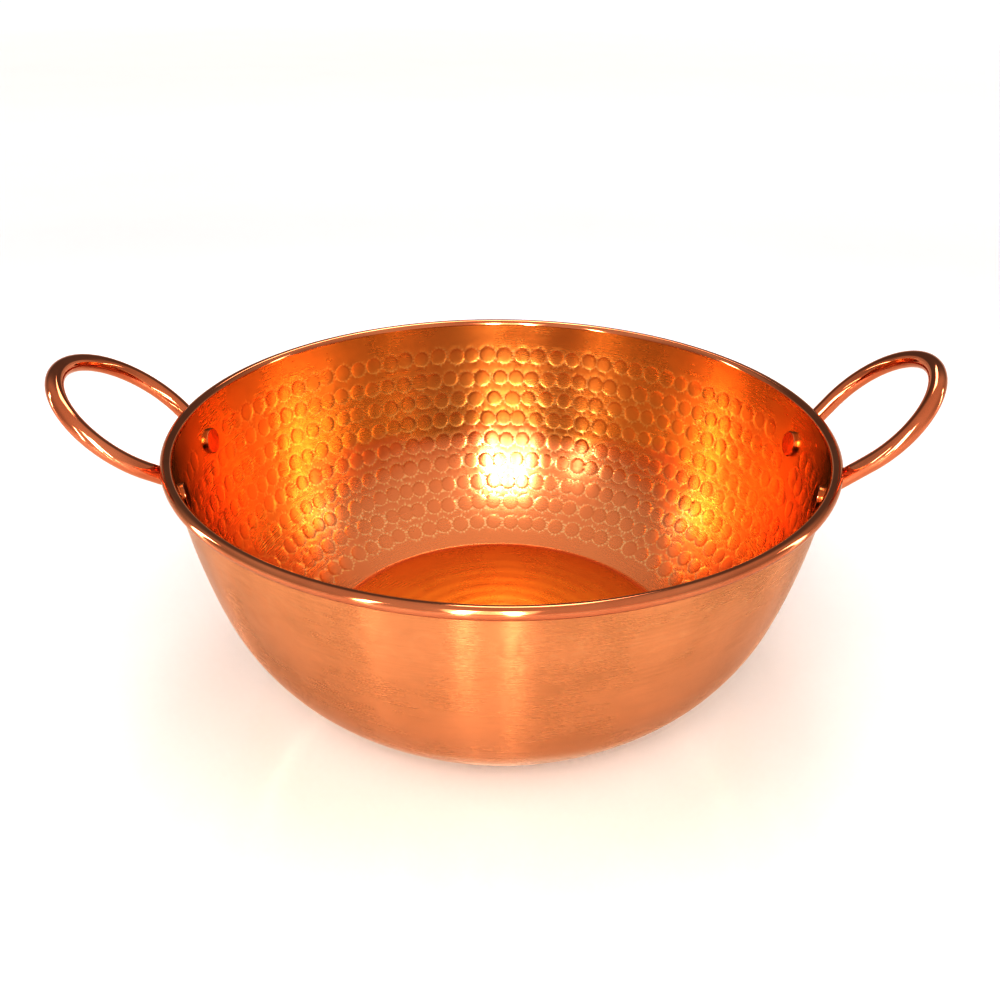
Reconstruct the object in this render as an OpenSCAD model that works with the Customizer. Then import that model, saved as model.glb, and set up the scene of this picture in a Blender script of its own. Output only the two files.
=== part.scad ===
// Hammered copper preserving bowl with two round-rod handles.
// Millimetres, +Z up, the flat base rests on z = 0 and the rim is centred on Z.
// The handles stand on -X (left) and +X (right).

/* [Bowl] */
// Diameter over the rolled rim
rim_d = 310; // [280:2:340]
// Height from the table to the top of the rim
bowl_h = 123.5; // [116:0.5:132]
// Diameter of the flat base
base_d = 188; // [178:1:198]
// Thickness of the copper sheet
sheet_t = 1; // [0.8:0.1:1.6]
// Lean of the side at the rim, from vertical
rim_lean = 5; // [3:0.5:7]
// Lean where the side turns into the belly, from vertical
join_lean = 17; // [14:0.5:20]
// Lean of the belly where it meets the base, from vertical
base_lean = 58; // [55:1:62]

/* [Rolled rim] */
// Diameter of the steel wire inside the rim
wire_d = 3.5; // [2.6:0.1:4]
// Angle round the wire at which the rolled edge ends, from the outside
curl_end = 240; // [232:1:260]

/* [Handles] */
// Diameter of the copper rod
rod_d = 7.8; // [6:0.2:9]
// Distance from each foot to the middle of its handle
foot_half_span = 29.5; // [26:0.5:34]
// Reach of the loop from its feet to the middle of the rod at the crown
loop_reach = 63; // [60:1:80]
// Radius of the left handle's crown
left_crown_r = 37.6; // [33:0.1:39]
// Radius of the right handle's crown
right_crown_r = 35.7; // [33:0.1:39]
// Rise of the left handle above level
left_tilt = 39; // [36:0.5:50]
// Rise of the right handle above level
right_tilt = 46; // [36:0.5:50]
// Turn of the left handle towards the front, round the bowl
left_turn = 3; // [0:0.5:4]
// Turn of the right handle towards the front, round the bowl
right_turn = 2; // [0:0.5:4]
// Gap between the rod and the underside of the rim
rim_gap = 0.5; // [0.2:0.1:1]

/* [Feet and rivets] */
// Height of the rim over the rivets
rivet_drop = 21; // [19:0.5:26]
// Diameter of each foot
foot_d = 16; // [14:0.5:18]
// Thickness of each flattened foot
foot_t = 3; // [2.5:0.1:4]
// Diameter of the rivet shank
shank_d = 6; // [5:0.2:7]
// Diameter of the rivet head inside the bowl
head_d = 12.6; // [10:0.2:14]
// Thickness of the rivet head inside the bowl
head_t = 1.8; // [1.2:0.1:2.4]
// Diameter of the peened end outside the foot
peen_d = 9.2; // [8:0.2:10]
// Height of the peened end
peen_h = 1.3; // [0.8:0.1:1.6]

/* [Hidden] */
$fn = 96;
COPPER = [0.80, 0.43, 0.24];
ROSE_COPPER = [0.84, 0.50, 0.36];
STEEL = [0.62, 0.62, 0.64];
LEFT = -1;
RIGHT = 1;
REAR = 1;
FRONT = -1;
far = 600;
ring_fn = 240;
curl_start = 190;
arc_fn = 480;
head_chamfer = 0.4;
peen_gap = 0.3;
hull_fn = 32;
lap = 0.02;
lap_length = 0.15;

// Rolled rim: the bead is the wire with one turn of sheet round it.
// The roll is a hair thicker than the side, so that the two overlap where they join.
wire_r = wire_d / 2;
bead_r = wire_r + sheet_t + 2 * lap;
bead_x = rim_d / 2 - bead_r;
bead_z = bowl_h - bead_r;

// The outer face of the side starts level with the wire and ends at the edge of the base.
side_top = [bead_x, bead_z] - (wire_r + lap) * outward(rim_lean);
side_fall = side_top.y;
side_run = side_top.x - base_d / 2;

// Two arcs that share a tangent fill that fall and run: a flat side and a round belly.
side_sin = sin(join_lean) - sin(rim_lean);
side_cos = cos(rim_lean) - cos(join_lean);
belly_sin = sin(base_lean) - sin(join_lean);
belly_cos = cos(join_lean) - cos(base_lean);
arc_det = side_sin * belly_cos - belly_sin * side_cos;
side_r = (side_fall * belly_cos - belly_sin * side_run) / arc_det;
belly_r = (side_sin * side_run - side_fall * side_cos) / arc_det;
side_centre = side_top - side_r * outward(rim_lean);
belly_centre = side_centre + (side_r - belly_r) * outward(join_lean);

// The widest crown that still leaves each leg some straight length.
leg_share = 0.985;
widest_crown = leg_share * (loop_reach + foot_half_span * foot_half_span / loop_reach) / 2;

// The handle's plane passes under the rim's bead with a small gap.
rod_r = rod_d / 2;
rod_clear = bead_r + rod_r + rim_gap;
rivet_z = bowl_h - rivet_drop;
rivet_r = side_x(rivet_z);
rivet_lean = side_lean(rivet_z);
rivet_turn = asin(foot_half_span / rivet_r);

// Direction square to the side, in the r-z half plane, where it leans by this angle.
function outward(lean) = [cos(lean), -sin(lean)];
// Direction of each handle's middle, round the bowl from +X.
function heading(side) = side == RIGHT ? -right_turn : 180 + left_turn;
// Lean and radius of the side's outer face at a height.
function side_lean(z) = asin((side_centre.y - z) / side_r);
function side_x(z) = side_centre.x + side_r * cos(side_lean(z));
// Chord position of a radius at the distance of the feet from the handle's middle.
function at_foot(r) = sqrt(r * r - foot_half_span * foot_half_span);
// How far down its own line the rod lies against the wall, from beside the bead.
function elbow_back(tilt) =
    (at_foot(bead_x) - at_foot(side_top.x) + rod_clear * (sin(tilt) + cos(tilt) * tan(rivet_lean))
     - rod_r / cos(rivet_lean)) / (cos(tilt) - sin(tilt) * tan(rivet_lean));
// Middle of the rod at the elbow, as [x, z].
function elbow(tilt) =
    [at_foot(bead_x) + rod_clear * sin(tilt) - elbow_back(tilt) * cos(tilt),
     bead_z - rod_clear * cos(tilt) - elbow_back(tilt) * sin(tilt)];

// Half plane above or below a line through a point, tipped down on the outside by an angle.
module half_plane(point, lean, from) {
    translate(point) rotate(-lean) translate([-far, from]) square([2 * far, far]);
}

// Half section of everything inside the outer face moved inward by a distance.
module body_section(inset) {
    intersection() {
        translate([0, inset]) square(far);
        union() {
            intersection() {
                translate(side_centre) circle(side_r - inset, $fn = arc_fn);
                half_plane(belly_centre, join_lean, 0);
                half_plane(side_centre, rim_lean, lap_length - far);
            }
            intersection() {
                translate(belly_centre) circle(belly_r - inset, $fn = arc_fn);
                half_plane(belly_centre, join_lean, -far);
            }
        }
    }
}

module body(inset) {
    rotate_extrude($fn = ring_fn) body_section(inset);
}

// The sheet rolled round the wire: a ring section with its open seam beside the wall.
module curl_section() {
    translate([bead_x, bead_z]) difference() {
        circle(bead_r);
        circle(wire_r);
        polygon([[0, 0], for (turn = [curl_start, (curl_start + curl_end) / 2, curl_end])
                 2 * bead_r * [cos(turn), sin(turn)]]);
    }
}

// Places its children on a foot: their Z is square to the wall and their origin is on its face.
module on_foot(side, end) {
    rotate([0, 0, heading(side) + side * end * rivet_turn]) translate([rivet_r, 0, rivet_z])
        rotate([0, 90 + rivet_lean, 0]) children();
}

module rivet_hole(side, end) {
    on_foot(side, end) translate([0, 0, -far / 20]) cylinder(h = far / 10, d = shank_d);
}

module bowl_shell() {
    color(COPPER) difference() {
        rotate_extrude($fn = ring_fn) {
            difference() {
                body_section(0);
                body_section(sheet_t);
            }
            curl_section();
        }
        for (side = [LEFT, RIGHT], end = [REAR, FRONT]) rivet_hole(side, end);
    }
}

module rim_wire() {
    color(STEEL) rotate_extrude($fn = ring_fn) translate([bead_x, bead_z]) circle(wire_r);
}

// The rod in its own plane: X runs out along the loop, Y along the rim, from between the elbows.
module rod(asked_r) {
    crown_r = min(asked_r, widest_crown);
    crown_x = loop_reach - crown_r;
    foot_away = norm([crown_x, foot_half_span]);
    leg = sqrt(foot_away * foot_away - crown_r * crown_r);
    splay = atan2(crown_r, leg) - atan2(foot_half_span, crown_x);
    translate([crown_x, 0, 0]) rotate([0, 0, -90 - splay]) rotate_extrude(angle = 180 + 2 * splay)
        translate([crown_r, 0]) circle(rod_r);
    for (end = [REAR, FRONT]) {
        translate([0, end * foot_half_span, 0]) rotate([0, 90, end * splay])
            cylinder(h = leg + lap_length, r = rod_r - lap);
    }
}

// The rod's end is hammered flat: a neck from the round elbow down to the round foot.
module neck(side, end, bend) {
    hull() {
        rotate([0, 0, heading(side)]) translate([bend.x, side * end * foot_half_span, bend.y])
            sphere(rod_r, $fn = hull_fn);
        on_foot(side, end) translate([-foot_d / 4, 0, 0])
            cylinder(h = foot_t, d = foot_d / 2, $fn = hull_fn);
    }
}

module handle(side, crown_r, tilt) {
    bend = elbow(tilt);
    difference() {
        union() {
            rotate([0, 0, heading(side)]) translate([bend.x, 0, bend.y])
                rotate([0, -tilt, 0]) rod(crown_r);
            for (end = [REAR, FRONT]) {
                on_foot(side, end) translate([0, 0, -foot_t]) cylinder(h = 2 * foot_t, d = foot_d);
                neck(side, end, bend);
            }
        }
        body(0);
        for (end = [REAR, FRONT]) {
            rivet_hole(side, end);
            on_foot(side, end) translate([0, 0, foot_t])
                cylinder(h = far / 20, d = peen_d + 2 * peen_gap);
        }
    }
}

module left_handle() {
    color(ROSE_COPPER) handle(LEFT, left_crown_r, left_tilt);
}

module right_handle() {
    color(ROSE_COPPER) handle(RIGHT, right_crown_r, right_tilt);
}

module rivet(side, end) {
    peen_r = (peen_d * peen_d / 4 + peen_h * peen_h) / (2 * peen_h);
    color(COPPER) {
        intersection() {
            on_foot(side, end) translate([0, 0, -sheet_t - head_t]) {
                cylinder(h = head_chamfer, d1 = head_d - 2 * head_chamfer, d2 = head_d);
                translate([0, 0, head_chamfer]) cylinder(h = head_t, d = head_d);
            }
            body(sheet_t);
        }
        on_foot(side, end) {
            translate([0, 0, -sheet_t - head_t / 2])
                cylinder(h = sheet_t + head_t / 2 + foot_t, d = shank_d);
            intersection() {
                translate([0, 0, foot_t + peen_h - peen_r]) sphere(peen_r);
                translate([0, 0, foot_t]) cylinder(h = peen_h, d = peen_d);
            }
        }
    }
}

module left_rear_rivet() { rivet(LEFT, REAR); }
module left_front_rivet() { rivet(LEFT, FRONT); }
module right_rear_rivet() { rivet(RIGHT, REAR); }
module right_front_rivet() { rivet(RIGHT, FRONT); }

bowl_shell();
rim_wire();
left_handle();
right_handle();
left_rear_rivet();
left_front_rivet();
right_rear_rivet();
right_front_rivet();
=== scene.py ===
"""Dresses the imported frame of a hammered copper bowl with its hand-worked surfaces.

Everything is in metres in the row frame: the origin is at the middle of the flat base,
+X points to the right handle and +Z up. A place on the wall is given by its azimuth and
its arc, the distance down the inner face from the rim.
"""

import math

import bmesh
import bpy
import numpy as np
from mathutils import Matrix, Vector
from mathutils.geometry import delaunay_2d_cdt


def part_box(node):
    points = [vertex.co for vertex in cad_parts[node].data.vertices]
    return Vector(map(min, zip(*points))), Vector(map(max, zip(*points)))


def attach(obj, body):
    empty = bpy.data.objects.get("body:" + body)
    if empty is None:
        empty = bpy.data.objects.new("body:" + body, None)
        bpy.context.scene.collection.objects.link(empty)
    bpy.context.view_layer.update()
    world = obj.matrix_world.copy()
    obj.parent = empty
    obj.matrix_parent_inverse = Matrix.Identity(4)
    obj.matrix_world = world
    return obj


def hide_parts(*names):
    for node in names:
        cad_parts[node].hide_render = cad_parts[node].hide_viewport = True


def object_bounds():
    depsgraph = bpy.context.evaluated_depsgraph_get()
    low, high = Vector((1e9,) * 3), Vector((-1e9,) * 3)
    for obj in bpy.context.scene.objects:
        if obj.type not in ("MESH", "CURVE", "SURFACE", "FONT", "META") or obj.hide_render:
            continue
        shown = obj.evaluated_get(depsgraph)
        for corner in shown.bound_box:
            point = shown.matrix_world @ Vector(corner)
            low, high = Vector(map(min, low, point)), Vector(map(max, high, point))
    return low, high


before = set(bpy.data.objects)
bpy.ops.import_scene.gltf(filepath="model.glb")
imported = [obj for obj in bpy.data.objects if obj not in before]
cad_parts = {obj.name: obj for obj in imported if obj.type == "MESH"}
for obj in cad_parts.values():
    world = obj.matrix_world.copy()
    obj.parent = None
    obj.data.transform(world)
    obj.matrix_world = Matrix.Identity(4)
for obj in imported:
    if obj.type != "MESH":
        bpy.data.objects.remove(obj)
CAD_LOW, CAD_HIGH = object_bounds()

MM = 0.001
TURN = 2 * math.pi

# ---------------------------------------------------------------- wall profile
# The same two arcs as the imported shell, rebuilt from its box so that both keep one shape.
_, SHELL_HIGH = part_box("bowl_shell")
RIM_R = SHELL_HIGH.x
RIM_Z = SHELL_HIGH.z
SHEET = 1.0 * MM
WIRE_R = 1.75 * MM
BASE_R = 94 * MM
RIM_LEAN, JOIN_LEAN, BASE_LEAN = (math.radians(a) for a in (5, 17, 58))
# Keeps the sheet off the wire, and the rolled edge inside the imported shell's box.
LAP = 0.02 * MM
BEAD_R = WIRE_R + LAP + SHEET
BEAD = np.array([RIM_R - BEAD_R - LAP, RIM_Z - BEAD_R - LAP])
CURL_END = math.radians(-120)


def outward(lean):
    """Direction square to the wall in the r-z half plane, where it leans by this angle."""
    return np.stack([np.cos(lean), -np.sin(lean)], -1)


def wall_arcs():
    """Centres and radii of the side's and the belly's arcs."""
    top = BEAD - (WIRE_R + LAP) * outward(RIM_LEAN)
    swing = outward(JOIN_LEAN) - outward(RIM_LEAN)
    swing_low = outward(BASE_LEAN) - outward(JOIN_LEAN)
    side, belly = np.linalg.solve(np.stack([-swing, -swing_low], 1), top - [BASE_R, 0])
    side_centre = top - side * outward(RIM_LEAN)
    belly_centre = side_centre + (side - belly) * outward(JOIN_LEAN)
    return side_centre, side, belly_centre, belly


SIDE_CENTRE, SIDE_R, BELLY_CENTRE, BELLY_R = wall_arcs()


def section(leans, inset):
    """Points (r, z) of the wall at these leans, moved inward from its outer face."""
    on_side = SIDE_CENTRE + (SIDE_R - inset) * outward(leans)
    on_belly = BELLY_CENTRE + (BELLY_R - inset) * outward(leans)
    return np.where(leans[:, None] <= JOIN_LEAN, on_side, on_belly)


# Tables along the wall: the arc, and what the wall has there.
LEANS = np.linspace(RIM_LEAN, BASE_LEAN, 1500)
INNER, OUTER = section(LEANS, SHEET), section(LEANS, 0)
ARC = np.concatenate([[0], np.cumsum(np.hypot(*np.diff(INNER, axis=0).T))])
# Isothermal height: equal steps of it and of azimuth are equal lengths on the wall.
STRETCH = np.concatenate([[0], np.cumsum(np.diff(ARC) / INNER[1:, 0])])


def wall_at(arc, table):
    """A table's value at these distances down the wall."""
    return np.interp(arc, ARC, table)


def around(azimuth):
    """The same azimuth between minus and plus half a turn."""
    return (azimuth + math.pi) % TURN - math.pi


# ---------------------------------------------------------------- hammer marks
# Rows down the wall, and the marks in each from the rim down.
ROW_FIRST, ROW_PITCH = 18.9 * MM, 12.9 * MM
ROW_COUNTS = (91, 92, 83, 88, 87, 86, 85, 76, 67)
MARK_R = 4.5 * MM
MARK_DEPTH = 0.095 * MM
RIVET_CLEAR = 13.2 * MM
# How unevenly the marks were struck: along the row as a share of their spacing, across it
# in millimetres, as waves of the whole row and mark by mark, and in their size and depth.
DRIFT_ALONG = 0.055
ROW_WAVES, ROW_WAVE_SIZE = (1, 2, 3, 5), (0.1, 0.45)
DRIFT_ACROSS = 0.28
SIZE_RANGE, DEPTH_RANGE = (0.93, 1.06), (0.7, 1.2)
RNG = np.random.default_rng(7)


def rivet_spots():
    """Azimuth and distance down the wall of each rivet, from the frame."""
    spots = []
    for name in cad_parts:
        if name.endswith("rivet"):
            low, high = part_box(name)
            middle = (low + high) / 2
            arc = np.interp(-middle.z, -INNER[:, 1], ARC)
            spots.append((math.atan2(middle.y, middle.x), arc))
    return spots


def hammer_marks():
    """Rows of marks, each as arrays of azimuth, arc, radius and depth."""
    rows, rivets = [], rivet_spots()
    for i, count in enumerate(ROW_COUNTS):
        step = TURN / count
        azimuth = step * (np.arange(count) + RNG.uniform())
        azimuth = around(azimuth + RNG.normal(0, DRIFT_ALONG * step, count))
        wave = sum(RNG.uniform(*ROW_WAVE_SIZE) * np.sin(k * azimuth + RNG.uniform(0, TURN))
                   for k in ROW_WAVES)
        arc = ROW_FIRST + i * ROW_PITCH + MM * (wave + RNG.normal(0, DRIFT_ACROSS, count))
        radius = MARK_R * RNG.uniform(*SIZE_RANGE, count)
        depth = MARK_DEPTH * RNG.uniform(*DEPTH_RANGE, count)
        keep = np.ones(count, bool)
        for rivet, rivet_arc in rivets:
            across = around(azimuth - rivet) * wall_at(arc, INNER[:, 0])
            keep &= np.hypot(across, arc - rivet_arc) > RIVET_CLEAR
        rows.append([v[keep] for v in (azimuth, arc, radius, depth)])
    return rows


MARKS = hammer_marks()
# Rows further than this up or down the wall aren't searched, and the ratio where none is near.
MARK_REACH, NO_MARK = 9 * MM, 9.0


def nearest_mark(azimuth, arc):
    """Distance to the closest mark in mark radii, that mark's depth, and its number."""
    ratio = np.full(len(azimuth), NO_MARK)
    depth = np.zeros(len(azimuth))
    number = np.full(len(azimuth), -1)
    first = 0
    for mark_az, mark_arc, mark_r, mark_depth in MARKS:
        reach = np.flatnonzero(np.abs(arc - mark_arc.mean()) < MARK_REACH)
        if len(reach):
            across = around(azimuth[reach, None] - mark_az) * wall_at(arc[reach], INNER[:, 0])[:, None]
            away = np.hypot(across, arc[reach, None] - mark_arc) / mark_r
            best = away.argmin(1)
            closest = away[np.arange(len(reach)), best]
            nearer = closest < ratio[reach]
            ratio[reach[nearer]] = closest[nearer]
            depth[reach[nearer]] = mark_depth[best[nearer]]
            number[reach[nearer]] = first + best[nearer]
        first += len(mark_az)
    return ratio, depth, number


def bump_at(value, middle, width):
    """A smooth hump one unit high."""
    return np.exp(-(((value - middle) / width) ** 2))


# ---------------------------------------------------------------- relief, and painted light at the marks
# The metal pushed up round a mark: its height, and its place and width in mark radii.
LIP_HEIGHT = 0.034 * MM
LIP_AT, LIP_WIDTH = 1.09, 0.08
# How steep a mark's wall is inside, and the rounder trace that it leaves outside.
CUP_POWER, TRACE_POWER, TRACE_SHARE = 6, 4, 0.5
# Creases between rows: distance down the wall and depth, in millimetres.
CREASES = ((64.2, 0.10), (90.0, 0.06), (11.0, 0.02))
CREASE_WIDTH = 5 * MM
# Swells: waves round the bowl, turn, drift down the wall, and size.
SWELLS = [(k, RNG.uniform(0, TURN), RNG.uniform(0, TURN), RNG.uniform(0.5, 1) / k ** 0.6)
          for k in (2, 3, 5, 7, 9, 13, 17)]
SWELL_HEIGHT, SWELL_LENGTH = 0.03, 30 * MM
OUTER_SWELL_SHARE = 0.6
# Marks show on the outer face near the rim, and hardly below this distance down the wall.
SHOW_LEAST, SHOW_END, SHOW_FADE = 0.12, 40 * MM, 5 * MM
# Painted light at a mark: places and widths in mark radii of the painted highlight on the lip and the
# painted shade in the edge.
LIP_HIGHLIGHT_AT, EDGE_SHADE_AT, PAINTED_LIGHT_WIDTH = 1.07, 0.90, 0.09
EDGE_SHADE_SHARE, OUTER_PAINTED_LIGHT_SHARE = 0.7, 0.3


def unevenness(azimuth, arc):
    """Slow swells that hand work leaves in the sheet, and the creases between some rows."""
    swell = sum(size * np.sin(k * azimuth + turn + 2 * np.sin(arc / SWELL_LENGTH + drift))
                for k, turn, drift, size in SWELLS)
    creases = sum(deep * np.exp(-np.abs(arc - s * MM) / CREASE_WIDTH) for s, deep in CREASES)
    return MM * (SWELL_HEIGHT * swell - creases)


def inner_relief(azimuth, arc):
    """Height of the inner face over the smooth wall, into the bowl."""
    ratio, depth, _ = nearest_mark(azimuth, arc)
    cup = -depth * np.clip(1 - ratio ** CUP_POWER, 0, 1)
    lip = LIP_HEIGHT * bump_at(ratio, LIP_AT, LIP_WIDTH)
    return cup + lip + unevenness(azimuth, arc)


def show_through(arc):
    """How much of a mark shows on the outer face, less and less down the wall."""
    return SHOW_LEAST + (1 - SHOW_LEAST) / (1 + np.exp((arc - SHOW_END) / SHOW_FADE))


def outer_relief(azimuth, arc):
    """Height of the outer face over the smooth wall, out of the bowl."""
    ratio, depth, _ = nearest_mark(azimuth, arc)
    trace = TRACE_SHARE * depth * np.clip(1 - ratio ** TRACE_POWER, 0, 1)
    return show_through(arc) * trace + OUTER_SWELL_SHARE * unevenness(azimuth, arc)


def inner_painted_light(azimuth, arc):
    """Painted light on the inner face: above 0 for a painted highlight on the lips of marks, below 0
    for painted shade in their edges.
    """
    ratio, _, _ = nearest_mark(azimuth, arc)
    return bump_at(ratio, LIP_HIGHLIGHT_AT, PAINTED_LIGHT_WIDTH) - EDGE_SHADE_SHARE * bump_at(ratio, EDGE_SHADE_AT, PAINTED_LIGHT_WIDTH)


def outer_painted_light(azimuth, arc):
    """The same painted highlight and shade on the outer face, where only the upper marks show."""
    return OUTER_PAINTED_LIGHT_SHARE * (show_through(arc) - SHOW_LEAST) * inner_painted_light(azimuth, arc)


# ---------------------------------------------------------------- hammered skins
WALL_END = ARC[-1] - 1.3 * MM
EDGE_MARGIN = 1.0 * MM
EDGE_FADE = 3 * MM
TOP_COUNT, LOW_COUNT = 300, 120
# Rings of points round a mark: size in mark radii, and count. Plain points keep off by a gap.
INNER_RINGS = ((0.0, 1), (0.72, 9), (0.88, 13), (0.98, 17), (1.07, 17), (1.19, 14))
OUTER_RINGS = ((0.0, 1), (0.62, 6), (0.95, 12), (1.1, 11))
RING_GAP = 0.16
# Width of the band, in radians, that is repeated past each end of the unrolled wall.
SEAM = 0.2
NORMAL_STEP = 0.1 * MM


def spaced(azimuth, arc, least):
    """Numbers of the points kept when each stays this far from those before it."""
    across = azimuth * wall_at(arc, INNER[:, 0]) / least
    cells, kept = {}, []
    for i, (u, v) in enumerate(zip(across.tolist(), (arc / least).tolist())):
        home = (math.floor(u), math.floor(v))
        near = (cells.get((home[0] + du, home[1] + dv), ()) for du in (-1, 0, 1) for dv in (-1, 0, 1))
        if all((u - x) ** 2 + (v - y) ** 2 >= 1 for cell in near for x, y in cell):
            cells.setdefault(home, []).append((u, v))
            kept.append(i)
    return np.array(kept)


def mark_points(rings):
    """Points round every mark, without those that are closer to another mark."""
    azimuth, arc, owner, first = [], [], [], 0
    for mark_az, mark_arc, mark_r, _ in MARKS:
        for n, (size, count) in enumerate(rings):
            turn = TURN * (np.arange(count) + 0.5 * (n % 2)) / count
            s = mark_arc[:, None] + size * mark_r[:, None] * np.sin(turn)
            a = mark_az[:, None] + size * mark_r[:, None] * np.cos(turn) / wall_at(s, INNER[:, 0])
            azimuth.append(around(a).ravel())
            arc.append(s.ravel())
            owner.append(np.repeat(first + np.arange(len(mark_az)), count))
        first += len(mark_az)
    azimuth, arc, owner = (np.concatenate(v) for v in (azimuth, arc, owner))
    _, _, number = nearest_mark(azimuth, arc)
    mine = (number == owner) & (arc > EDGE_MARGIN) & (arc < WALL_END - EDGE_MARGIN)
    return azimuth[mine], arc[mine]


def plain_points(step, clear):
    """Staggered points over the smooth parts of the wall."""
    azimuth, arc = [], []
    for i, s in enumerate(np.arange(step, WALL_END - 0.6 * step, step)):
        count = int(TURN * wall_at(s, INNER[:, 0]) / step)
        azimuth.append(around(TURN * (np.arange(count) + 0.5 * (i % 2)) / count))
        arc.append(np.full(count, s))
    azimuth, arc = np.concatenate(azimuth), np.concatenate(arc)
    ratio, _, _ = nearest_mark(azimuth, arc)
    return azimuth[ratio > clear], arc[ratio > clear]


def edge_ring(count, arc):
    """Evenly spaced points along one edge of the wall."""
    return around(TURN * np.arange(count) / count), np.full(count, arc)


def joined_faces(azimuth, arc):
    """Delaunay triangles over the unrolled wall, closed on themselves all the way round."""
    low = np.flatnonzero(azimuth < SEAM - math.pi)
    high = np.flatnonzero(azimuth > math.pi - SEAM)
    source = np.concatenate([np.arange(len(azimuth)), low, high])
    flat = np.stack([azimuth[source], -wall_at(arc[source], STRETCH)], 1)
    flat[len(azimuth):len(azimuth) + len(low), 0] += TURN
    flat[len(azimuth) + len(low):, 0] -= TURN
    faces = np.array(delaunay_2d_cdt([Vector(p) for p in flat], [], [], 0, 1e-9)[2])
    middle = flat[faces, 0].mean(1)
    return source[faces[(middle >= -math.pi) & (middle < math.pi)]]


def skin_points(azimuth, arc, table, relief, facing):
    """Points of a face in space. Its relief rises the way it faces and fades at both edges."""
    ends = np.clip(np.minimum(arc, WALL_END - arc) / EDGE_FADE, 0, 1)
    lift = relief(azimuth, arc) * ends * facing
    lean = wall_at(arc, LEANS)
    r = wall_at(arc, table[:, 0]) + lift * np.cos(lean)
    z = wall_at(arc, table[:, 1]) - lift * np.sin(lean)
    return np.stack([r * np.cos(azimuth), r * np.sin(azimuth), z], -1)


def skin_normals(azimuth, arc, table, relief, facing):
    """Normals of a face from small steps along it and down it."""
    turn = NORMAL_STEP / wall_at(arc, INNER[:, 0])
    above, below = np.clip(arc - NORMAL_STEP, 0, None), np.clip(arc + NORMAL_STEP, None, WALL_END)
    args = (table, relief, facing)
    down = skin_points(azimuth, below, *args) - skin_points(azimuth, above, *args)
    along = skin_points(azimuth + turn, arc, *args) - skin_points(azimuth - turn, arc, *args)
    normal = np.cross(down, along) * facing
    return normal / np.linalg.norm(normal, axis=1)[:, None]


# ---------------------------------------------------------------- mesh building
class Shape:
    """A mesh in the making: points with their arc and painted light, faces, and set normals."""

    def __init__(self):
        self.points, self.arcs, self.painted_light = [], [], []
        self.faces, self.materials = [], []
        self.normals = []

    def add(self, points, arcs, painted_light=0.0):
        """Adds points and returns their numbers."""
        first = len(self.points)
        self.points.extend(np.asarray(points, float).tolist())
        self.arcs.extend(np.broadcast_to(arcs, len(points)).tolist())
        self.painted_light.extend(np.broadcast_to(painted_light, len(points)).tolist())
        return np.arange(first, len(self.points))

    def fill(self, faces, material):
        """Adds faces given by point numbers."""
        self.faces.extend(np.asarray(faces).tolist())
        self.materials.extend([material] * len(faces))

    def skin(self, rings, step, least, surface, painted_light, material):
        """Adds one hammered face of the wall and returns its top and bottom edges."""
        sets = (edge_ring(TOP_COUNT, 0), edge_ring(LOW_COUNT, WALL_END),
                mark_points(rings), plain_points(step, rings[-1][0] + RING_GAP))
        azimuth, arc = (np.concatenate(v) for v in zip(*sets))
        edges = TOP_COUNT + LOW_COUNT
        kept = spaced(azimuth, arc, least)
        kept = np.concatenate([np.arange(edges), kept[kept >= edges]])
        azimuth, arc = azimuth[kept], arc[kept]
        # Each point carries its painted light: a highlight on mark lips and shade in their edges.
        numbers = self.add(skin_points(azimuth, arc, *surface), arc, painted_light(azimuth, arc))
        self.normals.append((numbers, skin_normals(azimuth, arc, *surface)))
        self.fill(numbers[joined_faces(azimuth, arc)], material)
        return numbers[:TOP_COUNT], numbers[TOP_COUNT:edges]

    def strip(self, one, other, material):
        """Quads between two rings of the same count."""
        after, before = np.roll(one, -1), np.roll(other, -1)
        self.fill(np.stack([one, other, before, after], 1), material)

    def revolve(self, ring, profile, material, arcs):
        """Turns a profile of (r, z) about the axis, starting from a ring already there."""
        turn = TURN * np.arange(len(ring)) / len(ring)
        circle = np.stack([np.cos(turn), np.sin(turn)], 1)
        for (r, z), arc in zip(profile, np.broadcast_to(arcs, len(profile))):
            new = self.add(np.column_stack([r * circle, np.full(len(ring), z)]), arc)
            self.strip(ring, new, material)
            ring = new
        return ring

    def close(self, ring, z, material, arc):
        """Joins a ring to one point on the axis."""
        middle = self.add([(0, 0, z)], arc)
        spokes = np.stack([ring, np.roll(ring, -1), np.repeat(middle, len(ring))], 1)
        self.fill(spokes, material)

    def level_off(self, ring, turn, radii, heights, level, material):
        """Carries a face of the wall round its foot and in to the axis."""
        profile = np.concatenate([turn, np.stack([radii, heights], 1)])
        arcs = WALL_END + turn[0][0] - profile[:, 0]
        last = self.revolve(ring, profile, material, arcs)
        self.close(last, level, material, arcs[-1])

    def build(self, name, materials):
        """Makes the Blender object, with its faces turned outwards."""
        mesh = bpy.data.meshes.new(name)
        mesh.from_pydata(self.points, [], self.faces)
        for material in materials:
            mesh.materials.append(material)
        mesh.polygons.foreach_set("material_index", self.materials)
        mesh.polygons.foreach_set("use_smooth", [True] * len(self.faces))
        work = bmesh.new()
        work.from_mesh(mesh)
        bmesh.ops.recalc_face_normals(work, faces=work.faces)
        work.to_mesh(mesh)
        work.free()
        # The painted highlight and shade at the marks go on the mesh as an attribute.
        for attribute, values in (("arc", self.arcs), ("painted_light", self.painted_light)):
            mesh.attributes.new(attribute, "FLOAT", "POINT").data.foreach_set("value", values)
        normals = np.array([v.vector for v in mesh.vertex_normals])
        for numbers, values in self.normals:
            normals[numbers] = values
        mesh.normals_split_custom_set_from_vertices(normals.tolist())
        obj = bpy.data.objects.new(name, mesh)
        bpy.context.scene.collection.objects.link(obj)
        return obj


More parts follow.
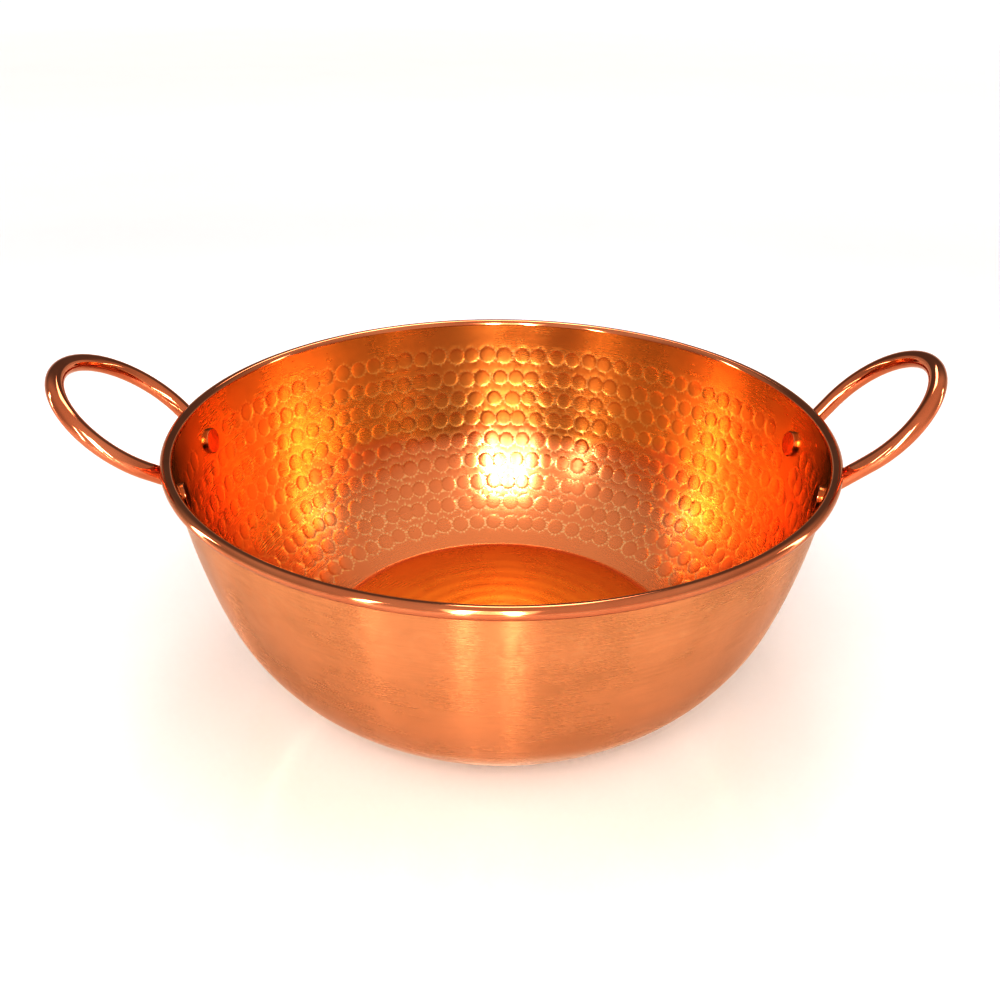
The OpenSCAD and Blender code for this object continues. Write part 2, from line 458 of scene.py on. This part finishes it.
# ---------------------------------------------------------------- the bowl
# Spacing of the plain points on each face of the wall, and the least that points keep apart.
INNER_STEP, INNER_LEAST = 2.6 * MM, 0.42 * MM
OUTER_STEP, OUTER_LEAST = 3.6 * MM, 0.5 * MM
# The rounding between wall and floor, inside and outside: its length and its points.
FLOOR_BEND, FLOOR_BEND_POINTS = 2.2 * MM, 7
BASE_BEND, BASE_BEND_POINTS = 2.0 * MM, 6
# Rings of points in the floor inside, and in the flat base below.
FLOOR_STEP, FLOOR_LAST = 1.5 * MM, 3 * MM
BASE_FIRST, BASE_LAST, BASE_RINGS = 6 * MM, 8 * MM, 12
# Rings that spinning leaves in the floor: length, height in millimetres, and start.
SPUN_RINGS = ((9 * MM, 0.05, 0), (3.7 * MM, 0.03, 1))
SPUN_EDGE, SPUN_FADE = 8 * MM, 10 * MM
INSIDE, RIM, OUTSIDE = range(3)


def on_circle(centre, radius, turns):
    """Points of a circle in the r-z half plane."""
    return centre + radius * np.stack([np.cos(turns), np.sin(turns)], 1)


def bead_profile():
    """The rolled edge, from the wall's inner face over the wire to the wall's outer face."""
    start = math.pi - RIM_LEAN
    hollow_r = WIRE_R + LAP
    edge = on_circle(BEAD, hollow_r + SHEET / 2, np.array([CURL_END]))[0]
    return np.concatenate([
        on_circle(BEAD, BEAD_R, np.linspace(start, CURL_END, 25)[1:]),
        on_circle(edge, SHEET / 2, np.linspace(CURL_END, CURL_END - math.pi, 5)[1:-1]),
        on_circle(BEAD, hollow_r, np.linspace(CURL_END, start, 11)[:-1]),
    ])


def bend(start, corner, length, count):
    """A smooth turn from a point, round a corner, to level ground further in."""
    t = np.linspace(0, 1, count)[1:, None]
    return (1 - t) ** 2 * start + 2 * t * (1 - t) * corner + t * t * (corner - [length, 0])


def floor_wave(r):
    """Height of the spun rings in the floor."""
    rings = sum(height * np.sin(TURN * r / length + start) for length, height, start in SPUN_RINGS)
    return MM * rings * np.clip((BASE_R - SPUN_EDGE - r) / SPUN_FADE, 0, 1)


def wall_foot(table):
    """The last point of the wall's inner or outer face."""
    return np.array([wall_at(WALL_END, table[:, 0]), wall_at(WALL_END, table[:, 1])])


def level_point(table, z):
    """Where a face of the wall comes down to a height."""
    return np.array([np.interp(-z, -table[:, 1], table[:, 0]), z])


def build_bowl(materials):
    """The whole sheet: both hammered faces, the rolled rim, the floor and the base."""
    shape = Shape()
    in_top, in_low = shape.skin(INNER_RINGS, INNER_STEP, INNER_LEAST, (INNER, inner_relief, -1),
                                inner_painted_light, INSIDE)
    out_top, out_low = shape.skin(OUTER_RINGS, OUTER_STEP, OUTER_LEAST, (OUTER, outer_relief, 1),
                                  outer_painted_light, OUTSIDE)
    last = shape.revolve(in_top, bead_profile(), RIM, 0)
    shape.strip(last, out_top, RIM)

    turn = bend(wall_foot(INNER), level_point(INNER, SHEET), FLOOR_BEND, FLOOR_BEND_POINTS)
    radii = np.arange(turn[-1][0] - FLOOR_STEP, FLOOR_LAST, -FLOOR_STEP)
    shape.level_off(in_low, turn, radii, SHEET + floor_wave(radii), SHEET, INSIDE)

    turn = bend(wall_foot(OUTER), level_point(OUTER, 0), BASE_BEND, BASE_BEND_POINTS)
    radii = np.linspace(turn[-1][0] - BASE_FIRST, BASE_LAST, BASE_RINGS)
    shape.level_off(out_low, turn, radii, 0 * radii, 0.0, OUTSIDE)
    return shape.build("hammered_bowl", materials)


# ---------------------------------------------------------------- material nodes
def new_material(name):
    """An empty node material and its tree."""
    material = bpy.data.materials.new(name)
    material.use_nodes = True
    material.node_tree.nodes.clear()
    return material, material.node_tree


def node(tree, kind, inputs=None, **settings):
    """Adds a node. An input that is another node's socket is linked, any other is set."""
    made = tree.nodes.new("ShaderNode" + kind)
    for key, value in settings.items():
        setattr(made, key, value)
    for key, value in (inputs or {}).items():
        if isinstance(value, bpy.types.NodeSocket):
            tree.links.new(value, made.inputs[key])
        else:
            made.inputs[key].default_value = value
    return made


def math_node(tree, operation, a, b=0.0):
    """One step of arithmetic."""
    return node(tree, "Math", {0: a, 1: b}, operation=operation).outputs[0]


def scaled(tree, value, low, high, to_low, to_high):
    """A value moved smoothly from one range to another."""
    return node(tree, "MapRange", {0: value, 1: low, 2: high, 3: to_low, 4: to_high},
                interpolation_type="SMOOTHSTEP").outputs[0]


def noise(tree, vector, scale, detail=3.0, rough=0.55):
    """Cloudy noise between 0 and 1."""
    return node(tree, "TexNoise", {"Vector": vector, "Scale": scale, "Detail": detail,
                                   "Roughness": rough}).outputs[0]


def blend(tree, factor, one, other):
    """A colour between two, each an RGB triple or another node's colour."""
    one, other = ((*c, 1) if isinstance(c, tuple) else c for c in (one, other))
    return node(tree, "Mix", {0: factor, 6: one, 7: other}, data_type="RGBA").outputs[2]


def place_in_object(tree):
    """The surface's own coordinates."""
    return node(tree, "TexCoord").outputs["Object"]


def from_mesh(tree, attribute):
    """A value that the mesh carries, such as its arc or its painted light."""
    return node(tree, "Attribute", attribute_name=attribute).outputs["Fac"]


def compass(tree):
    """X and Y of the direction from the bowl's axis."""
    flat = node(tree, "VectorMath", {0: place_in_object(tree), 1: (1, 1, 0)},
                operation="MULTIPLY").outputs[0]
    way = node(tree, "VectorMath", {0: flat}, operation="NORMALIZE").outputs[0]
    return node(tree, "SeparateXYZ", {0: way}).outputs[:2]


def spun_vector(tree, length, height):
    """Coordinates that run round the bowl, for marks stretched along its circles."""
    x, y = (math_node(tree, "MULTIPLY", part, length) for part in compass(tree))
    down = math_node(tree, "MULTIPLY", from_mesh(tree, "arc"), height)
    return node(tree, "CombineXYZ", {0: x, 1: y, 2: down}).outputs[0]


def ragged_arc(tree, patches, swing):
    """Distance down the wall, moved up and down by the patches so that limits look worn."""
    return math_node(tree, "ADD", from_mesh(tree, "arc"),
                     scaled(tree, patches, 0.3, 0.7, -swing, swing))


# ---------------------------------------------------------------- copper
PATCH_SCALE = 22.0
# Noise stretched along the spun circles: its scale round the bowl and down the wall.
BRUSHED, GROOVED = (5.0, 1500.0), (7.0, 420.0)
BRUSHED_DEPTH, GROOVED_DEPTH = 0.006 * MM, 0.01 * MM
# Painted highlight on the lips of marks, and painted shade in their edges.
PAINTED_LIP_HIGHLIGHT, PAINTED_EDGE_SHADE = (1.0, 0.84, 0.62), (0.66, 0.38, 0.14)
# Tint at glancing angles: all but the lining dims towards its edges.
EDGE_TINT, LINING_EDGE_TINT = (0.86, 0.81, 0.80, 1), (1.0, 1.0, 1.0, 1)
# Where tints change, as distances down the wall: pinker low down inside and golden sides
# fading out, both painted reflection of the room and side windows, and the foot outside.
LOW_REFLECTION_FROM, LOW_REFLECTION_TO = 58 * MM, 70 * MM
SIDE_REFLECTION_FROM, SIDE_REFLECTION_TO = 75 * MM, 105 * MM
FOOT_FROM, FOOT_TO = 92 * MM, 110 * MM
# The golden sides, a painted reflection of the side windows, face the handles: share of the direction
# that points along X.
SIDE_FROM, SIDE_TO = 0.78, 0.97
# The floor's tint starts at a narrow border after the rounding, and turns to the pinker
# painted reflection tint near the floor's middle.
FLOOR_FROM = WALL_END + FLOOR_BEND
FLOOR_MIDDLE = WALL_END + wall_foot(INNER)[0]
FLOOR_BORDER = 1.5 * MM
CENTRE_FROM, CENTRE_TO, CENTRE_SHARE = 42 * MM, 16 * MM, 0.7
LINING_SWING, FOOT_SWING = 6 * MM, 4 * MM


def lining_tones_with_painted_reflection(tree, colour, patches, side_reflection_tint, low_reflection_tint, floor_tint):
    """The inside's tones: painted reflection, golden by the handles and pinker low down, and golden on
    the floor.
    """
    down = ragged_arc(tree, patches, LINING_SWING)
    # Painted reflection of the pale room: pinker low down.
    colour = blend(tree, scaled(tree, down, LOW_REFLECTION_FROM, LOW_REFLECTION_TO, 0.0, 1.0), colour, low_reflection_tint)
    sideways = math_node(tree, "ABSOLUTE", compass(tree)[0])
    # Painted reflection of the side windows: golden on the sides that face the handles.
    side_reflection = math_node(tree, "MULTIPLY", scaled(tree, sideways, SIDE_FROM, SIDE_TO, 0.0, 1.0),
                     scaled(tree, down, SIDE_REFLECTION_FROM, SIDE_REFLECTION_TO, 1.0, 0.0))
    colour = blend(tree, side_reflection, colour, side_reflection_tint)
    centre = scaled(tree, down, FLOOR_MIDDLE - CENTRE_FROM, FLOOR_MIDDLE - CENTRE_TO, 0.0, CENTRE_SHARE)
    disc = blend(tree, centre, floor_tint, low_reflection_tint)
    on_floor = scaled(tree, from_mesh(tree, "arc"), FLOOR_FROM, FLOOR_FROM + FLOOR_BORDER, 0.0, 1.0)
    return blend(tree, on_floor, colour, disc)


def foot_tinted(tree, colour, patches, tint):
    """The outside's tone, which changes towards the base."""
    down = ragged_arc(tree, patches, FOOT_SWING)
    return blend(tree, scaled(tree, down, FOOT_FROM, FOOT_TO, 0.0, 1.0), colour, tint)


def painted_mark_light(tree, colour):
    """Painted highlight where the mesh's painted light is above 0, painted shade where it is below 0.
    """
    painted_light = from_mesh(tree, "painted_light")
    # Painted highlight on the lips of the marks, then painted shade in their edges.
    colour = blend(tree, scaled(tree, painted_light, 0.05, 0.9, 0.0, 0.65), colour, PAINTED_LIP_HIGHLIGHT)
    return blend(tree, scaled(tree, painted_light, -0.65, -0.05, 0.14, 0.0), colour, PAINTED_EDGE_SHADE)


def brushed_normal(tree, brushed):
    """Fine brushed lines over broader spun grooves."""
    grooves = noise(tree, spun_vector(tree, *GROOVED), 1.0, 2.0)
    fine = node(tree, "Bump", {"Strength": 1.0, "Distance": BRUSHED_DEPTH, "Height": brushed})
    both = node(tree, "Bump", {"Strength": 1.0, "Distance": GROOVED_DEPTH, "Height": grooves,
                               "Normal": fine.outputs[0]})
    return both.outputs[0]


def copper(name, tint, deep, rough, stretch, brushing, lining=None, foot_tint=None):
    """Spun and hammered copper: brushed circles, patches of tone, painted highlights and shade at the
    marks, and painted reflection tones in a lining.
    """
    material, tree = new_material(name)
    patches = noise(tree, place_in_object(tree), PATCH_SCALE, 4.0)
    brushed = noise(tree, spun_vector(tree, *BRUSHED), 1.0, 4.0, 0.7)
    colour = blend(tree, scaled(tree, patches, 0.35, 0.7, 0.0, 1.0), tint, deep)
    if lining:
        colour = lining_tones_with_painted_reflection(tree, colour, patches, **lining)
    if foot_tint:
        colour = foot_tinted(tree, colour, patches, foot_tint)
    roughness = math_node(tree, "ADD", scaled(tree, brushed, 0.3, 0.7, -brushing, brushing),
                          scaled(tree, patches, 0.3, 0.7, rough * 0.85, rough * 1.2))
    tangent = node(tree, "Tangent", direction_type="RADIAL", axis="Z").outputs[0]
    # The base colour carries the painted highlight and shade at the marks.
    shader = node(tree, "BsdfPrincipled", {
        "Base Color": painted_mark_light(tree, colour), "Metallic": 1.0, "Roughness": roughness,
        "Anisotropic": stretch, "Anisotropic Rotation": 0.25, "Tangent": tangent,
        "Normal": brushed_normal(tree, brushed),
        "Specular Tint": LINING_EDGE_TINT if lining else EDGE_TINT,
        "Coat Weight": 0.4, "Coat Roughness": 0.1, "Coat IOR": 1.5})
    node(tree, "OutputMaterial", {"Surface": shader.outputs[0]})
    return material


# ---------------------------------------------------------------- studio
TABLE_HALF = 30.0
TABLE_COLOUR = (0.93, 0.93, 0.93)
TABLE_MOTTLE = 0.97
# The room's brightness: what it has on average, and how it leans to the right, front and top.
ROOM_LEVEL, ROOM_LEAN = 0.895, (0.03, -0.09, 0.10)
ROOM_COLOUR = (1.0, 0.985, 0.97, 1)
DAYLIGHT = (0.97, 0.95, 1.0)
TARGET = Vector((0, 0, 0.08))
WINDOW_DISTANCE = 2.0
# Softboxes: name, azimuth and elevation, width and height in degrees, and radiance.
WINDOWS = (
    ("front", -93, 30, (24, 46), 0.9),
    ("front_pane_1", -86, 26, (4, 50), 5.5),
    ("front_pane_2", -101, 26, (4, 50), 5),
    ("front_left", -129, 18, (5, 32), 4),
    ("skylight", 84, 54, (16, 28), 2.0),
    ("right", 8, 12, (6, 30), 2.5),
    ("left", 170, 12, (6, 30), 3.5),
)
# Below 1, as the photograph is strongly graded.
DISPLAY_GAMMA = 0.35
# The view that fits the bowl's outline in the photograph.
LENS, SENSOR = 36.6, 36.0
LENS_SHIFT = -0.0012
CAMERA_PLACE = (0, -0.4387, 0.3195)
CAMERA_DOWN, CAMERA_ROLL = math.radians(28.41), math.radians(0.51)


def make_camera():
    """The camera at the photograph's viewing angle."""
    lens = bpy.data.cameras.new("camera")
    lens.lens, lens.sensor_width = LENS, SENSOR
    lens.shift_x = LENS_SHIFT
    lens.clip_start = 0.01
    camera = bpy.data.objects.new("camera", lens)
    pitch = Matrix.Rotation(math.radians(90) - CAMERA_DOWN, 4, "X")
    roll = Matrix.Rotation(CAMERA_ROLL, 4, "Z")
    camera.matrix_world = Matrix.Translation(CAMERA_PLACE) @ pitch @ roll
    bpy.context.scene.collection.objects.link(camera)
    bpy.context.scene.camera = camera


def plaster(name, colour):
    """Pale smooth table top that glows a little, with a barely visible mottle."""
    material, tree = new_material(name)
    mottled = tuple(TABLE_MOTTLE * c for c in colour)
    tone = blend(tree, noise(tree, place_in_object(tree), 3.0), colour, mottled)
    shader = node(tree, "BsdfPrincipled", {
        "Base Color": tone, "Roughness": 0.12, "Specular IOR Level": 0.35,
        "Emission Color": (1, 1, 1, 1), "Emission Strength": 0.15})
    node(tree, "OutputMaterial", {"Surface": shader.outputs[0]})
    return material


def make_floor():
    """A wide pale table top just under the base."""
    mesh = bpy.data.meshes.new("floor")
    corners = [(-TABLE_HALF, -TABLE_HALF), (TABLE_HALF, -TABLE_HALF),
               (TABLE_HALF, TABLE_HALF), (-TABLE_HALF, TABLE_HALF)]
    mesh.from_pydata([(x, y, CAD_LOW.z) for x, y in corners], [], [(0, 1, 2, 3)])
    mesh.materials.append(plaster("table_top", TABLE_COLOUR))
    floor = bpy.data.objects.new("floor", mesh)
    bpy.context.scene.collection.objects.link(floor)


def make_room():
    """A pale room, darker behind and to the sides, with a bright horizon all round."""
    world = bpy.data.worlds.new("studio")
    world.use_nodes = True
    tree = world.node_tree
    tree.nodes.clear()
    way = node(tree, "TexCoord").outputs["Generated"]
    x, y, z = node(tree, "SeparateXYZ", {0: way}).outputs
    lean = node(tree, "VectorMath", {0: way, 1: ROOM_LEAN}, operation="DOT_PRODUCT")
    level = math_node(tree, "ADD", lean.outputs["Value"], ROOM_LEVEL)
    behind = scaled(tree, y, 0.35, 0.75, 1.0, 0.60)
    horizon = scaled(tree, z, 0.12, 0.36, 1.1, 0.0)
    level = math_node(tree, "MULTIPLY", level, math_node(tree, "MAXIMUM", behind, horizon))
    aside = scaled(tree, math_node(tree, "ABSOLUTE", x), 0.6, 1.0, 1.0, 0.87)
    level = math_node(tree, "MULTIPLY", level, aside)
    sky = node(tree, "Background", {"Color": ROOM_COLOUR, "Strength": level})
    node(tree, "OutputWorld", {"Surface": sky.outputs[0]})
    bpy.context.scene.world = world


def window(name, azimuth, elevation, spread, radiance):
    """A softbox by direction and angular size in degrees, as bright as a window seen there."""
    az, el = math.radians(azimuth), math.radians(elevation)
    way = Vector((math.cos(az) * math.cos(el), math.sin(az) * math.cos(el), math.sin(el)))
    lamp = bpy.data.lights.new(name, "AREA")
    lamp.shape = "RECTANGLE"
    lamp.size, lamp.size_y = (2 * WINDOW_DISTANCE * math.tan(math.radians(a) / 2) for a in spread)
    lamp.energy = radiance * math.pi * lamp.size * lamp.size_y
    lamp.color = DAYLIGHT
    obj = bpy.data.objects.new(name, lamp)
    obj.location = way * WINDOW_DISTANCE + TARGET
    obj.rotation_mode = "QUATERNION"
    obj.rotation_quaternion = (-way).to_track_quat("-Z", "Y")
    bpy.context.scene.collection.objects.link(obj)


def make_studio():
    """A pale room with tall windows in front and at the sides, and a skylight behind."""
    make_room()
    for row in WINDOWS:
        window(*row)
    view = bpy.context.scene.view_settings
    view.view_transform = "Standard"
    view.gamma = DISPLAY_GAMMA


# ---------------------------------------------------------------- finish
def dress(node_name, material):
    """Gives a CAD node its finish."""
    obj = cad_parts[node_name]
    obj.data.materials.clear()
    obj.data.materials.append(material)


make_camera()
make_studio()
make_floor()

# The lining's pinker low tint and golden side tint are painted reflection.
inside = copper("copper_inside", tint=(0.915, 0.64, 0.34), deep=(0.885, 0.61, 0.31),
                rough=0.27, stretch=0.5, brushing=0.02,
                lining={"side_reflection_tint": (0.885, 0.665, 0.35), "low_reflection_tint": (0.90, 0.55, 0.35),
                        "floor_tint": (0.91, 0.61, 0.26)})
rim = copper("copper_rim", tint=(0.81, 0.50, 0.34), deep=(0.76, 0.44, 0.29),
             rough=0.10, stretch=0.3, brushing=0.02)
outside = copper("copper_outside", tint=(0.87, 0.58, 0.38), deep=(0.84, 0.55, 0.35),
                 rough=0.25, stretch=1.0, brushing=0.03, foot_tint=(0.90, 0.74, 0.62))
polished = copper("copper_polished", tint=(0.83, 0.50, 0.35), deep=(0.78, 0.44, 0.29),
                  rough=0.09, stretch=0.0, brushing=0.01)
steel = copper("drawn_steel", tint=(0.60, 0.60, 0.61), deep=(0.5, 0.5, 0.5),
               rough=0.3, stretch=0.3, brushing=0.03)

bowl = build_bowl([inside, rim, outside])
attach(bowl, "root")
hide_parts("bowl_shell")
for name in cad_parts:
    if name.endswith("handle") or name.endswith("rivet"):
        dress(name, polished)
dress("rim_wire", steel)
